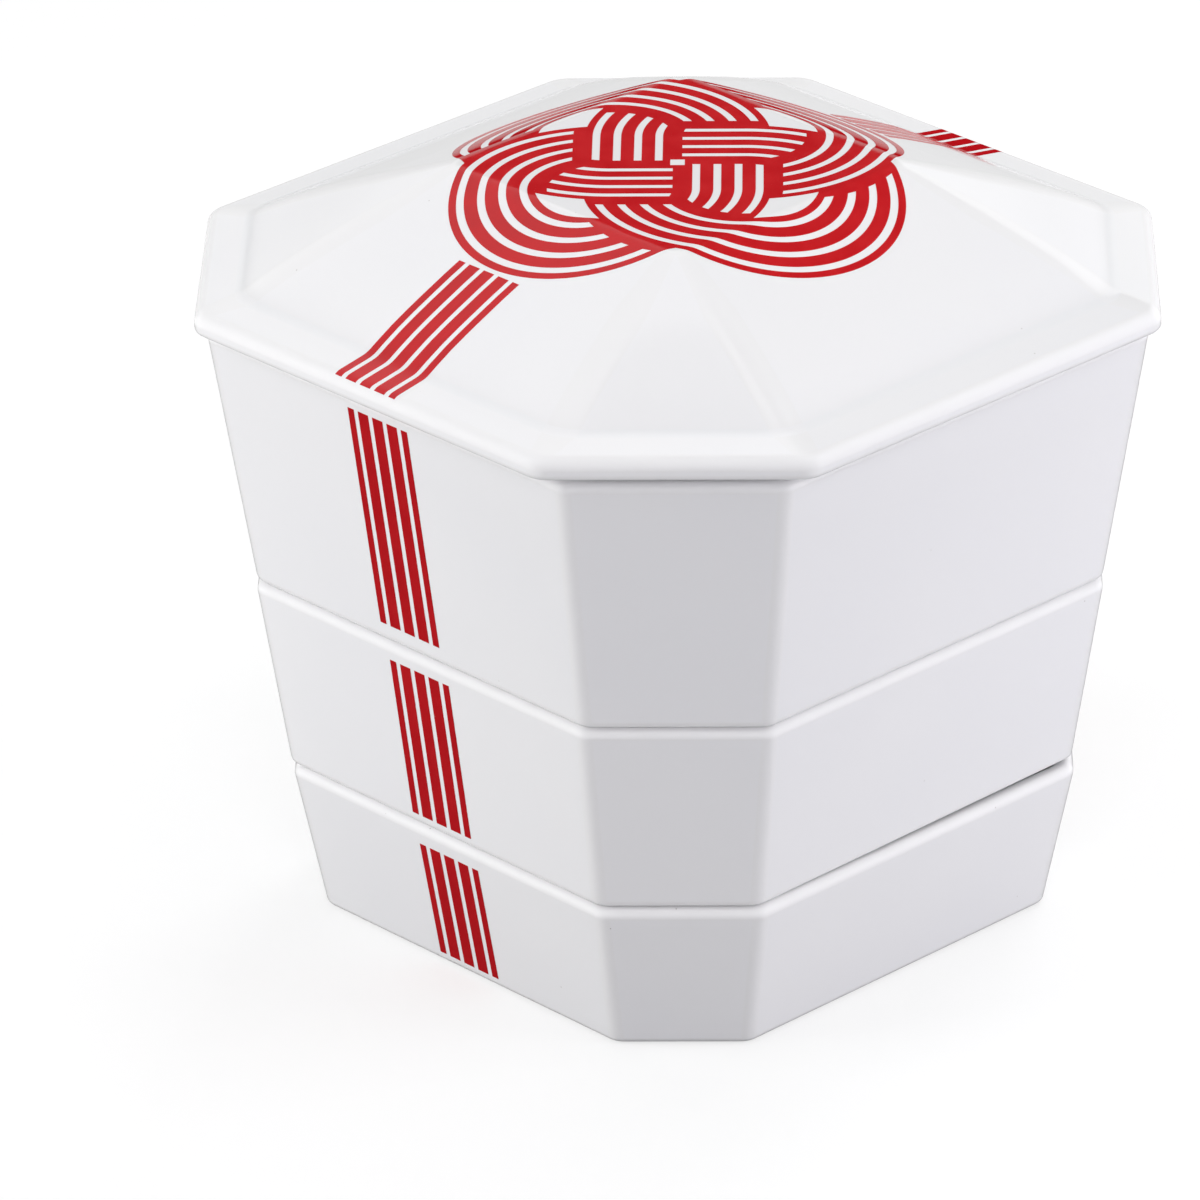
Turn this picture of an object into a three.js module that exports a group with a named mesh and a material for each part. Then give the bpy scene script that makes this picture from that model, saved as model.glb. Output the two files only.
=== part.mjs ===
// Stacking food box in glazed porcelain: three leaning trays and a hipped lid, all with cut corners.
// Millimetres, +Z up, origin on the table under the middle of the box.
import * as THREE from 'three';

// Overall sizes
const mouthWidth = 180; // top tier's rim, across opposite sides
const cornerLeg = 34; // length that the corner facet takes off each side at that rim
const upperDraft = 8.4; // degrees that the walls of the two upper tiers lean out
const bottomDraft = 11; // degrees that the bottom tier's walls lean out
const bottomTierHeight = 36.4;
const middleTierHeight = 46.4;
const topTierHeight = 64;

// Tier walls
const wallThickness = 4.8;
const floorThickness = 5;
const edgeRadius = 4.5; // upright edges, seen from above
const rimOuterRadius = 2.2;
const rimInnerRadius = 1.2;
const floorRadius = 6; // inside, where the floor meets the wall
const baseEdgeRadius = 1.2;

// Stepped seats
const rimStep = 0.5; // a rim stands this far outside the tier that sits on it
const seatGap = 0.3; // upright gap between a piece and the rim that carries it
const spigotClearance = 1.2; // gap around a spigot in the mouth below it
const spigotDepth = 4;
const spigotWidth = 5;
const spigotRadius = 1;

// Foot ring of the bottom tier
const footEdgeRadius = 1.8;
const footWidth = 6;
const footRecess = 1.6;
const footRadius = 0.8;

// Lid
const lidOverhang = 5.4; // lip beyond the top tier's rim
const lidEdgeRadius = 10; // its upright edges, softer than the trays'
const lipHeight = 4.8;
const lipUpperRadius = 3;
const lipLowerRadius = 1.4;
const lipCornerEase = 4.4; // the lip's corners are cut this much deeper than a parallel outline
const brimWidth = 10.4;
const brimPitch = 9.4; // degrees, as are the pitches of the roof
const creaseRadius = 7; // hollow bend between brim and roof
const roofFootWidth = 7.5; // steepest part of the roof, just above the brim
const roofFootPitch = 30.1;
const roofMiddleWidth = 15.5;
const roofMiddlePitch = 24.1;
const roofTopPitch = 21.4;
const roofFootBend = 95; // radius between foot and middle
const roofTopBend = 300; // radius between middle and upper part
const topEdgeRadius = 6;
const topCornerLeg = 2.1; // what is left of the corner facet at the square top
const lidThickness = 5;
const ceilingPitch = 22.5;
const ceilingRadius = 3;

// Facets
const cornerSteps = 3; // facets round one upright edge
const arcStep = 34; // degrees that one facet of a profile arc may turn

// Values worked out from the sizes above
const tanOf = (degrees) => Math.tan(THREE.MathUtils.degToRad(degrees));
const mouthHalf = mouthWidth / 2;
const legPerOffset = 2 - Math.SQRT2; // change of the corner leg when the outline moves parallel to itself
const cornerTangent = Math.tan(Math.PI / 8); // tangent length of a 45 degree bend of radius 1

// Every level of a tray is the mouth outline moved parallel to itself, so all eight walls lean alike.
function parallelLeg(halfWidth) {
  return cornerLeg - legPerOffset * (mouthHalf - halfWidth);
}

// One level: a square with cut, rounded corners, as points running anticlockwise seen from above.
function outlineRing(halfWidth, height, leg, edge) {
  const radius = Math.min(edge, 0.45 * leg * Math.SQRT2 / cornerTangent);
  const reach = radius / Math.cos(Math.PI / 8);
  const bends = [];
  for (let quarter = 0; quarter < 4; quarter += 1) {
    const turn = quarter * Math.PI / 2;
    bends.push({ x: halfWidth, y: halfWidth - leg, turn, start: 0 });
    bends.push({ x: halfWidth - leg, y: halfWidth, turn, start: Math.PI / 4 });
  }
  const ring = [];
  for (const { x, y, turn, start } of bends) {
    const inward = start + Math.PI / 8;
    const centre = new THREE.Vector2(x - reach * Math.cos(inward), y - reach * Math.sin(inward));
    for (let step = 0; step <= cornerSteps; step += 1) {
      const angle = start + step / cornerSteps * Math.PI / 4;
      const point = new THREE.Vector2(radius * Math.cos(angle), radius * Math.sin(angle)).add(centre);
      point.rotateAround(new THREE.Vector2(), turn);
      ring.push(new THREE.Vector3(point.x, point.y, height));
    }
  }
  return ring;
}

// Corners of a half section, each given as [half width, height, radius], with the room that their arcs take.
function profileBends(corners) {
  const bends = corners.map(([x, y, radius], index) => {
    const corner = new THREE.Vector2(x, y);
    if (!radius) {
      return { corner, tangent: 0 };
    }
    const before = new THREE.Vector2(...corners[index - 1]).sub(corner).normalize();
    const after = new THREE.Vector2(...corners[index + 1]).sub(corner).normalize();
    const halfOpening = Math.acos(THREE.MathUtils.clamp(before.dot(after), -1, 1)) / 2;
    return { corner, before, after, halfOpening, tangent: radius / Math.tan(halfOpening) };
  });
  // Two arcs that would meet on a short side share it
  for (let index = 1; index < bends.length; index += 1) {
    const first = bends[index - 1];
    const second = bends[index];
    const room = 0.9 * first.corner.distanceTo(second.corner);
    const share = Math.min(1, room / (first.tangent + second.tangent));
    first.tangent *= share;
    second.tangent *= share;
  }
  return bends;
}

// Rounds the corners of a half section with arcs.
function roundProfile(corners) {
  const points = [];
  for (const { corner, before, after, halfOpening, tangent } of profileBends(corners)) {
    if (!tangent) {
      points.push(corner);
      continue;
    }
    const middle = before.clone().add(after).normalize();
    const centre = middle.multiplyScalar(tangent / Math.cos(halfOpening)).add(corner);
    const from = before.multiplyScalar(tangent).add(corner).sub(centre);
    const to = after.multiplyScalar(tangent).add(corner).sub(centre);
    const sweep = Math.atan2(from.cross(to), from.dot(to));
    const steps = Math.max(1, Math.ceil(Math.abs(THREE.MathUtils.radToDeg(sweep)) / arcStep));
    for (let step = 0; step <= steps; step += 1) {
      points.push(from.clone().rotateAround(new THREE.Vector2(), sweep * step / steps).add(centre));
    }
  }
  return points;
}

// Carries a half section round the outline. It starts and ends on the axis, with the solid on its right.
function sweepProfile(profile, legAt, edge) {
  const positions = [];
  const triangles = [];
  const addPoint = (point) => positions.push(point.x, point.y, point.z) / 3 - 1;
  const rings = profile.slice(1, -1).map(({ x, y }) => outlineRing(x, y, legAt(x), edge).map(addPoint));
  const firstCentre = addPoint(new THREE.Vector3(0, 0, profile[0].y));
  const lastCentre = addPoint(new THREE.Vector3(0, 0, profile[profile.length - 1].y));
  const count = rings[0].length;
  for (let index = 0; index < count; index += 1) {
    const next = (index + 1) % count;
    triangles.push(firstCentre, rings[0][index], rings[0][next]);
    for (let level = 1; level < rings.length; level += 1) {
      const inner = rings[level - 1];
      const outer = rings[level];
      triangles.push(inner[index], outer[index], outer[next]);
      triangles.push(inner[index], outer[next], inner[next]);
    }
    const last = rings[rings.length - 1];
    triangles.push(lastCentre, last[next], last[index]);
  }
  const geometry = new THREE.BufferGeometry();
  geometry.setAttribute('position', new THREE.Float32BufferAttribute(positions, 3));
  geometry.setIndex(triangles);
  geometry.computeVertexNormals();
  return geometry;
}

const glaze = new THREE.MeshStandardMaterial({ color: '#f1f0f2', roughness: 0.12, metalness: 0 });

function makePiece(name, corners, legAt = parallelLeg, edge = edgeRadius) {
  const piece = new THREE.Mesh(sweepProfile(roundProfile(corners), legAt, edge), glaze);
  piece.name = name;
  return piece;
}

// Widths of one tray, from its rim, its height and the lean of its walls.
function traySize(rimHalf, height, draft) {
  const slope = tanOf(draft);
  return { rimHalf, height, slope, baseHalf: rimHalf - height * slope, insideHalf: rimHalf - wallThickness };
}

// Half section of a tray's inside and outside, from the middle of its floor to its lower outer edge.
function trayCorners({ rimHalf, height, slope, baseHalf, insideHalf }, floorLevel, lowerRadius) {
  return [
    [0, floorLevel, 0],
    [insideHalf - (height - floorLevel) * slope, floorLevel, floorRadius],
    [insideHalf, height, rimInnerRadius],
    [rimHalf, height, rimOuterRadius],
    [baseHalf, 0, lowerRadius],
  ];
}

// Half section of a rib that drops into a tray's mouth, from its seat level down and back to the inside.
function spigotCorners(trayBelow, insideLevel) {
  const outside = trayBelow.insideHalf - spigotClearance;
  const inside = outside - spigotWidth;
  return [
    [outside, 0, spigotRadius],
    [outside - spigotDepth * trayBelow.slope, -spigotDepth, spigotRadius],
    [inside, -spigotDepth, spigotRadius],
    [inside, insideLevel, spigotRadius],
  ];
}

// A tray that sits on the one below: its floor carries a spigot that drops into that one's mouth.
function stackedTier(name, tray, trayBelow) {
  const corners = [
    ...trayCorners(tray, floorThickness, baseEdgeRadius),
    ...spigotCorners(trayBelow, 0),
    [0, 0, 0],
  ];
  return makePiece(name, corners);
}

// The lowest tray stands on a flat ring round a shallow recess.
function footedTier(name, tray) {
  const footInside = tray.baseHalf - footEdgeRadius - footWidth;
  const corners = [
    ...trayCorners(tray, footRecess + floorThickness, footEdgeRadius),
    [footInside, 0, footRadius],
    [footInside - footRecess, footRecess, footRadius],
    [0, footRecess, 0],
  ];
  return makePiece(name, corners);
}

// The roof bulges up from the brim, alike on all sides, until the corner facets run out at a square top.
function roofedLid(name, trayBelow) {
  const lipHalf = trayBelow.rimHalf + lidOverhang;
  const creaseHalf = lipHalf - brimWidth;
  const footHalf = creaseHalf - roofFootWidth;
  const middleHalf = footHalf - roofMiddleWidth;
  const topHalf = mouthHalf - (cornerLeg - topCornerLeg) / legPerOffset;
  const creaseLevel = lipHeight + brimWidth * tanOf(brimPitch);
  const footLevel = creaseLevel + roofFootWidth * tanOf(roofFootPitch);
  const middleLevel = footLevel + roofMiddleWidth * tanOf(roofMiddlePitch);
  const topLevel = middleLevel + (middleHalf - topHalf) * tanOf(roofTopPitch);
  const ceilingHalf = topHalf - lidThickness * tanOf(ceilingPitch / 2);
  const ceilingLevel = topLevel - lidThickness;
  const ribInside = trayBelow.insideHalf - spigotClearance - spigotWidth;
  const eavesLevel = ceilingLevel - (ribInside - ceilingHalf) * tanOf(ceilingPitch);
  const easePerWidth = lipCornerEase / (lipHalf - topHalf);
  const lidLeg = (halfWidth) => parallelLeg(halfWidth) + easePerWidth * (halfWidth - topHalf);
  const corners = [
    [0, topLevel, 0],
    [topHalf, topLevel, topEdgeRadius],
    [middleHalf, middleLevel, roofTopBend],
    [footHalf, footLevel, roofFootBend],
    [creaseHalf, creaseLevel, creaseRadius],
    [lipHalf, lipHeight, lipUpperRadius],
    [lipHalf, 0, lipLowerRadius],
    ...spigotCorners(trayBelow, eavesLevel),
    [ceilingHalf, ceilingLevel, ceilingRadius],
    [0, ceilingLevel, 0],
  ];
  return makePiece(name, corners, lidLeg, lidEdgeRadius);
}

// Each tray's rim stands a little outside the lower edge of the tray that it carries.
const topTray = traySize(mouthHalf, topTierHeight, upperDraft);
const middleTray = traySize(topTray.baseHalf + rimStep, middleTierHeight, upperDraft);
const bottomTray = traySize(middleTray.baseHalf + rimStep, bottomTierHeight, bottomDraft);

const bottomTier = footedTier('bottom_tier', bottomTray);
const middleTier = stackedTier('middle_tier', middleTray, bottomTray);
const topTier = stackedTier('top_tier', topTray, middleTray);
const lid = roofedLid('lid', topTray);
middleTier.position.z = bottomTierHeight + seatGap;
topTier.position.z = middleTier.position.z + middleTierHeight + seatGap;
lid.position.z = topTier.position.z + topTierHeight + seatGap;

const jubako = new THREE.Group();
jubako.add(bottomTier, middleTier, topTier, lid);

export default jubako;
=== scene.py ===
"""Looks of a stacking food box in glazed porcelain: three leaning trays, a hipped lid, red cords fired on."""

import math

import bpy
from mathutils import Matrix, Vector


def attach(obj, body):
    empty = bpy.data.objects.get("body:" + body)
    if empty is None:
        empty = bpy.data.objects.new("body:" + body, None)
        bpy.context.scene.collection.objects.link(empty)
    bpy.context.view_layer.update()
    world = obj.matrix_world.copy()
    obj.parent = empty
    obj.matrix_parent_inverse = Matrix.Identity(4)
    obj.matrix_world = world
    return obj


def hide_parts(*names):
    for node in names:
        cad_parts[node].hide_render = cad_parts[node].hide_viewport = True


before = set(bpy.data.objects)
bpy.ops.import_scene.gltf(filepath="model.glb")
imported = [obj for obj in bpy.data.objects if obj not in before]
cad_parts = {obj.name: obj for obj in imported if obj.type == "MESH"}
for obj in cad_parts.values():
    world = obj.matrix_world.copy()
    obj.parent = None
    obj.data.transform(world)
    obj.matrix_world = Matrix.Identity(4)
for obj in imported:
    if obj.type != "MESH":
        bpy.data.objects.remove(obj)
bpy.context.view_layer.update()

# Units: sizes below are in millimetres and degrees, meshes are in metres
MM = 0.001

# Overall sizes, as in the solids that the pieces stand for
MOUTH_HALF = 90
CORNER_LEG = 34
UPPER_DRAFT = 8.4
BOTTOM_DRAFT = 11
BOTTOM_HEIGHT = 36.4
MIDDLE_HEIGHT = 46.4
TOP_HEIGHT = 64

# Tier walls, with rims and lower edges a little rounder than the solids' own
WALL = 4.8
FLOOR = 5
EDGE_RADIUS = 4.5
RIM_OUTER_RADIUS = 2.2
RIM_INNER_RADIUS = 2.2
FLOOR_RADIUS = 6
BASE_EDGE_RADIUS = 2.2
RIM_RISE = 0.2  # rims stand this much higher than the solids' own
TOP_RIM_RISE = -1.4  # the top tier's rim stands lower, which leaves a dark line under the lid

# Stacked by hand and warped a little in the kiln, on the side that faces +X
BOTTOM_ASIDE = 0.8  # how far the bottom tier stands out of line
EDGE_LIFT = 1.4  # the middle tier's lower edge curls up
RIM_SINK = 0.6  # and the bottom tier's rim sinks under it
WARP_PLACE = 33  # along Y
WARP_REACH = 28
WARP_HEIGHT = 9  # how far up the wall the curl runs out
WARP_FROM = 50  # what lies nearer to the middle than this stays flat

# Stepped seats
RIM_STEP = 0.5
SEAT_GAP = 0.3
SPIGOT_CLEARANCE = 1.2
SPIGOT_DEPTH = 4
SPIGOT_WIDTH = 5
SPIGOT_RADIUS = 1

# Foot ring
FOOT_EDGE_RADIUS = 1.8
FOOT_WIDTH = 6
FOOT_RECESS = 1.6
FOOT_RADIUS = 0.8

# Lid
LID_OVERHANG = 5.4
LID_EDGE_RADIUS = 10  # upright edges of the roof
LIP_EDGE_RADIUS = 6  # the same edges at the lip
EDGE_GROWTH = 0.4  # growth of their radius for each millimetre further in
LIP_HEIGHT = 4.8
LIP_UPPER_RADIUS = 3
LIP_LOWER_RADIUS = 1.4
LIP_CORNER_EASE = 4.4
BRIM_WIDTH = 10.4
BRIM_PITCH = 9.4
CREASE_RADIUS = 7
ROOF_FOOT_WIDTH = 7.5
ROOF_FOOT_PITCH = 30.1
ROOF_MIDDLE_WIDTH = 15.5
ROOF_MIDDLE_PITCH = 24.1
ROOF_TOP_PITCH = 21.4
ROOF_FOOT_BEND = 95
ROOF_TOP_BEND = 300
TOP_EDGE_RADIUS = 6
TOP_CORNER_LEG = 2.1
LID_THICKNESS = 5
CEILING_PITCH = 22.5
CEILING_RADIUS = 3

# Fineness of the porcelain meshes
ARC_STEP = 5  # degrees that one facet of a section's arc turns
GENTLE_BEND = 0.15  # radians; on a gentler arc the glaze lies as on a flat
EDGE_STEPS = 8  # facets round one upright edge
SUPPORT = 0.35  # short flat beside each rounding
ARC_SHARE = 0.9  # of a short side, for the roundings at both its ends
SMALLEST_OUTLINE = 30  # nearer to the middle than this the outline only shrinks
WELD = 1e-6  # metres

# Enamel film
FILM = 0.06  # height above the glaze
SINK = 0.15  # depth below it
CELL = 0.9  # size of the film's mesh cells
SIGHT = 200  # the flat patterns are drawn this far out and then laid on the porcelain

# Where the lid's enamel is painted a darker red as painted shade and loses its shine, measured from the
# middle towards its two far sides
SHADE_AND_DULL_SLOPE_BEGINS = (33, 38)
SHADE_AND_DULL_SLOPE_ENDS = (40, 58)
SHADE_AND_DULL_BRIM_BEGINS = (82, 86)

# Cord knot on the lid, seen from above
LOBE_CENTRE = 20.8
INNER_PASS = 11.1
CORD_WIDTH = 19.0
CORD_GAP = 1.7
OUTER_CORD = 1.7
LINE_SETBACK = 2.6  # white lines stop this short of a strand on top
LOOP_TURN = 0.75 * math.pi  # a strand's turn on each side of its lobe's tip
HALVINGS = 40  # steps of the search for where two strands meet

# Cord bands, of five cords side by side
LID_BAND = {"width": 18.7, "outer": 1.95, "gap": 1.3}
LID_BAND_START = -94.3
LID_BAND_STOP = -57.2
TIER_BAND = {"width": 18.8, "outer": 1.95, "gap": 1.3}
TOP_BAND = {"aside": -1.6, "above_base": 4.6, "below_rim": 5.0}
MIDDLE_BAND = {"aside": 0.25, "above_base": 2.75, "below_rim": 4.0}
BOTTOM_BAND = {"aside": 1.35, "above_base": 2.4, "below_rim": 4.75}

# Light, in metres and watts
BOX_MIDDLE = Vector((0, 0, 0.09))
LID_MIDDLE = Vector((0, 0, 0.15))
WORLD_LIGHT = (0.1, 0.1, 0.1)
PLAIN = (1.0, 1.0, 1.0)
COOL = (0.955, 0.938, 1.0)

# Lamps: name, direction from the box, distance, width, height, power, colour
LAMPS = (
    ("overhead_softbox", (0, 0, 1), 1.8, 1.6, 1.6, 15.0, PLAIN),
    ("left_low_softbox", (-0.6, -0.8, -0.1), 0.6, 1.0, 0.05, 2.21, PLAIN),
    ("left_high_softbox", (-0.5, -0.75, 0.5), 1.8, 1.0, 1.0, 10.8, PLAIN),
    ("right_low_softbox", (0.8, 0.6, -0.1), 0.6, 1.0, 0.05, 2.21, COOL),
    ("right_high_softbox", (0.75, 0.5, 0.5), 1.8, 1.0, 1.0, 9.97, PLAIN),
    ("front_softbox", (0.6, -0.6, 0.4), 1.8, 1.0, 1.0, 9.06, COOL),
    ("back_softbox", (-0.3, 0.75, 0.6), 1.8, 1.0, 1.0, 11.9, PLAIN),
)

# Cards: name, way that the faces which mirror it lean, first and last pitch of these, distance, margin, level
MIRRORED_CARDS = (
    ("dark_card", 0, (0, ROOF_FOOT_PITCH), 1.6, 0.27, 0.05),
    ("edge_card", -22.5, (ROOF_MIDDLE_PITCH, ROOF_FOOT_PITCH), 1.65, 0.15, 0.1),
    ("top_card", -45, (ROOF_MIDDLE_PITCH + 2, ROOF_FOOT_PITCH + 2), 1.7, 0.1, 0.1),
)

LEG_PER_OFFSET = 2 - math.sqrt(2)
CORNER_TANGENT = math.tan(math.pi / 8)


def tan_of(degrees):
    return math.tan(math.radians(degrees))


# Node trees


class Field:
    """A node's output that ordinary arithmetic works on: each step adds a Math node to its tree."""

    def __init__(self, tree, socket):
        self.tree = tree
        self.socket = socket

    def math(self, operation, *others):
        node = self.tree.nodes.new("ShaderNodeMath")
        node.operation = operation
        for slot, value in zip(node.inputs, (self, *others)):
            plug(self.tree, slot, value)
        return Field(self.tree, node.outputs[0])

    def __add__(self, other):
        return self.math("ADD", other)

    def __radd__(self, other):
        return self.math("ADD", other)

    def __sub__(self, other):
        return self.math("SUBTRACT", other)

    def __rsub__(self, other):
        return self.math("MULTIPLY_ADD", -1.0, other)

    def __mul__(self, other):
        return self.math("MULTIPLY", other)

    def __rmul__(self, other):
        return self.math("MULTIPLY", other)

    def __truediv__(self, other):
        return self.math("DIVIDE", other)


def plug(tree, socket, value):
    """Links an output to an input, or sets the input to a plain value."""
    if isinstance(value, Field):
        value = value.socket
    if isinstance(value, bpy.types.NodeSocket):
        tree.links.new(value, socket)
    else:
        socket.default_value = value


def add_node(tree, kind, inputs=None, **settings):
    """Adds a node, with its settings and with its inputs by name or number."""
    node = tree.nodes.new(kind)
    for key, value in settings.items():
        setattr(node, key, value)
    for key, value in (inputs or {}).items():
        plug(tree, node.inputs[key], value)
    return node


def field(tree, kind, inputs=None, output=0, **settings):
    return Field(tree, add_node(tree, kind, inputs, **settings).outputs[output])


def geometry_tree(name, sockets):
    """A Geometry Nodes tree with a mesh in and out, and the named inputs."""
    tree = bpy.data.node_groups.new(name, "GeometryNodeTree")
    tree.interface.new_socket("Geometry", in_out="INPUT", socket_type="NodeSocketGeometry")
    tree.interface.new_socket("Geometry", in_out="OUTPUT", socket_type="NodeSocketGeometry")
    for label, kind in sockets:
        tree.interface.new_socket(label, in_out="INPUT", socket_type="NodeSocket" + kind)
    start = tree.nodes.new("NodeGroupInput")
    inputs = {socket.name: Field(tree, socket) for socket in start.outputs if socket.name}
    return tree, inputs


def finish_tree(tree, geometry):
    end = tree.nodes.new("NodeGroupOutput")
    plug(tree, end.inputs[0], geometry)


def grow(piece, tree, values):
    """Runs a tree on a piece's mesh and keeps the result as a plain mesh."""
    modifier = piece.modifiers.new(tree.name, "NODES")
    modifier.node_group = tree
    for item in tree.interface.items_tree:
        if item.in_out == "INPUT" and item.name in values:
            modifier[item.identifier] = values[item.name]
    bpy.context.view_layer.update()
    graph = bpy.context.evaluated_depsgraph_get()
    made = bpy.data.meshes.new_from_object(piece.evaluated_get(graph))
    piece.modifiers.clear()
    piece.data = made
    made.name = piece.name
    return piece


def new_piece(name, points, edges=(), faces=()):
    """A new object at the origin, from points in millimetres."""
    mesh = bpy.data.meshes.new(name)
    mesh.from_pydata([[value * MM for value in point] for point in points], edges, faces)
    piece = bpy.data.objects.new(name, mesh)
    bpy.context.scene.collection.objects.link(piece)
    return piece


# Porcelain: a half section carried round a square outline with cut, rounded corners


def profile_tangents(corners):
    """Length that each corner's arc takes on both its sides; two arcs on a short side share it."""
    places = [Vector(corner[:2]) for corner in corners]
    tangents = []
    for index, (_, _, radius) in enumerate(corners):
        tangent = 0
        if radius:
            before = places[index - 1] - places[index]
            after = places[index + 1] - places[index]
            tangent = radius / math.tan(before.angle(after) / 2)
        tangents.append(tangent)
    for index in range(1, len(corners)):
        room = ARC_SHARE * (places[index] - places[index - 1]).length
        share = min(1, room / max(tangents[index - 1] + tangents[index], 1e-9))
        tangents[index - 1] *= share
        tangents[index] *= share
    return tangents


def round_profile(corners):
    """Rounds a half section's corners, each (half width, height, radius), into rows (x, z, bend).

    Bend is 1 on an arc that stands out, -1 in a hollow one and 0 on the flats. A short flat on both
    sides of each arc keeps the shading of the large flats true.
    """
    rows = []
    for index, tangent in enumerate(profile_tangents(corners)):
        corner = Vector(corners[index][:2])
        if not tangent:
            rows.append((*corner, 0))
            continue
        before = (Vector(corners[index - 1][:2]) - corner).normalized()
        after = (Vector(corners[index + 1][:2]) - corner).normalized()
        half_opening = before.angle(after) / 2
        centre = corner + (before + after).normalized() * (tangent / math.cos(half_opening))
        begin = corner + before * tangent
        spoke = begin - centre
        sweep = math.pi - 2 * half_opening
        if before.x * after.y - before.y * after.x > 0:
            sweep = -sweep
        bend = 1 if sweep < 0 else -1
        if abs(sweep) < GENTLE_BEND:
            bend = 0
        support = min(SUPPORT, 0.05 * tangent)
        rows.append((*(begin + before * support), 0))
        steps = max(2, math.ceil(abs(math.degrees(sweep)) / ARC_STEP))
        for step in range(steps + 1):
            turned = Matrix.Rotation(sweep * step / steps, 2) @ spoke
            rows.append((*(centre + turned), bend))
        rows.append((*(corner + after * (tangent + support)), 0))
    return rows


def porcelain_tree():
    """Carries a half section, given as a row of points, round the cut-corner outline."""
    tree, given = geometry_tree(
        "cut_corner_sweep",
        [
            ("Leg At Axis", "Float"),
            ("Leg Per Width", "Float"),
            ("Edge Radius", "Float"),
            ("Lip Edge Radius", "Float"),
            ("Lip Half", "Float"),
            ("Edge Growth", "Float"),
            ("Edge Steps", "Int"),
            ("Support", "Float"),
            ("Smallest Outline", "Float"),
            ("Bare Below", "Float"),
            ("Lift", "Float"),
            ("Lift Place", "Float"),
            ("Lift Reach", "Float"),
            ("Lift From", "Float"),
            ("Lift To", "Float"),
            ("Aside", "Vector"),
            ("Glaze", "Material"),
            ("Bare", "Material"),
        ],
    )
    section = given["Geometry"]
    steps = given["Edge Steps"]
    rows = field(tree, "GeometryNodeAttributeDomainSize", {"Geometry": section}, "Point Count")
    per_bend = steps + 3
    columns = per_bend * 8  # eight bends, two at each cut corner
    grid = field(tree, "GeometryNodeMeshGrid", {"Vertices X": rows, "Vertices Y": columns + 1})
    index = field(tree, "GeometryNodeInputIndex")
    row = (index / (columns + 1)).math("FLOOR")
    column = (index - row * (columns + 1)).math("MODULO", columns)

    def sampled(value, kind):
        inputs = {"Geometry": section, "Value": value, "Index": row}
        return field(tree, "GeometryNodeSampleIndex", inputs, data_type=kind)

    place = sampled(field(tree, "GeometryNodeInputPosition"), "FLOAT_VECTOR")
    split = add_node(tree, "ShaderNodeSeparateXYZ", {0: place})
    half = Field(tree, split.outputs[0])
    height = Field(tree, split.outputs[2])
    outline = half.math("MAXIMUM", given["Smallest Outline"])

    bend = (column / per_bend).math("FLOOR")
    step = column - bend * per_bend
    quarter = (bend / 2).math("FLOOR")
    second = bend - quarter * 2
    leg = given["Leg At Axis"] + given["Leg Per Width"] * outline
    wanted = given["Lip Edge Radius"] + (given["Lip Half"] - outline) * given["Edge Growth"]
    wanted = wanted.math("MINIMUM", given["Edge Radius"])
    radius = (leg * (ARC_SHARE / 2 * math.sqrt(2) / CORNER_TANGENT)).math("MINIMUM", wanted)
    facet = leg * math.sqrt(2) - radius * (2 * CORNER_TANGENT)
    support = (facet * 0.2).math("MINIMUM", given["Support"])
    reach = radius / math.cos(math.pi / 8)
    start = second * (math.pi / 4)
    centre_x = outline - leg * second - reach * (start + math.pi / 8).math("COSINE")
    centre_y = outline - leg * (1 - second) - reach * (start + math.pi / 8).math("SINE")
    share = ((step - 1) / steps).math("MAXIMUM", 0.0).math("MINIMUM", 1.0)
    angle = start + share * (math.pi / 4)
    extra = support * ((step - steps - 1).math("MAXIMUM", 0.0) - (1 - step).math("MAXIMUM", 0.0))
    x = centre_x + radius * angle.math("COSINE") - extra * angle.math("SINE")
    y = centre_y + radius * angle.math("SINE") + extra * angle.math("COSINE")
    scale = half / outline
    flat = field(tree, "ShaderNodeCombineXYZ", {0: x * scale, 1: y * scale, 2: height})
    turned = field(
        tree,
        "ShaderNodeVectorRotate",
        {"Vector": flat, "Angle": quarter * (math.pi / 2)},
        rotation_type="Z_AXIS",
    )
    swept = field(tree, "GeometryNodeSetPosition", {"Geometry": grid, "Position": turned})

    # An edge lifts or sinks a little on the +X side, as porcelain does in the kiln
    now = add_node(tree, "ShaderNodeSeparateXYZ", {0: field(tree, "GeometryNodeInputPosition")})
    now_x, now_y, now_z = (Field(tree, socket) for socket in now.outputs)
    away = (now_y - given["Lift Place"]) / given["Lift Reach"]
    hump = (1 - away * away).math("MAXIMUM", 0.0).math("POWER", 2.0)
    on_side = now_x.math("GREATER_THAN", WARP_FROM * MM)
    share_up = (now_z - given["Lift From"]) / (given["Lift To"] - given["Lift From"])
    share_up = share_up.math("MAXIMUM", 0.0).math("MINIMUM", 1.0)
    up = field(tree, "ShaderNodeCombineXYZ", {2: hump * on_side * share_up * given["Lift"]})
    offset = field(tree, "ShaderNodeVectorMath", {0: up, 1: given["Aside"]}, operation="ADD")
    swept = field(tree, "GeometryNodeSetPosition", {"Geometry": swept, "Offset": offset})

    # How the glaze lies: 1 where it is drawn thin over an edge, -1 where it pools in a hollow
    def noted(label):
        value = field(tree, "GeometryNodeInputNamedAttribute", {"Name": label}, data_type="FLOAT")
        return sampled(value, "FLOAT")

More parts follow.
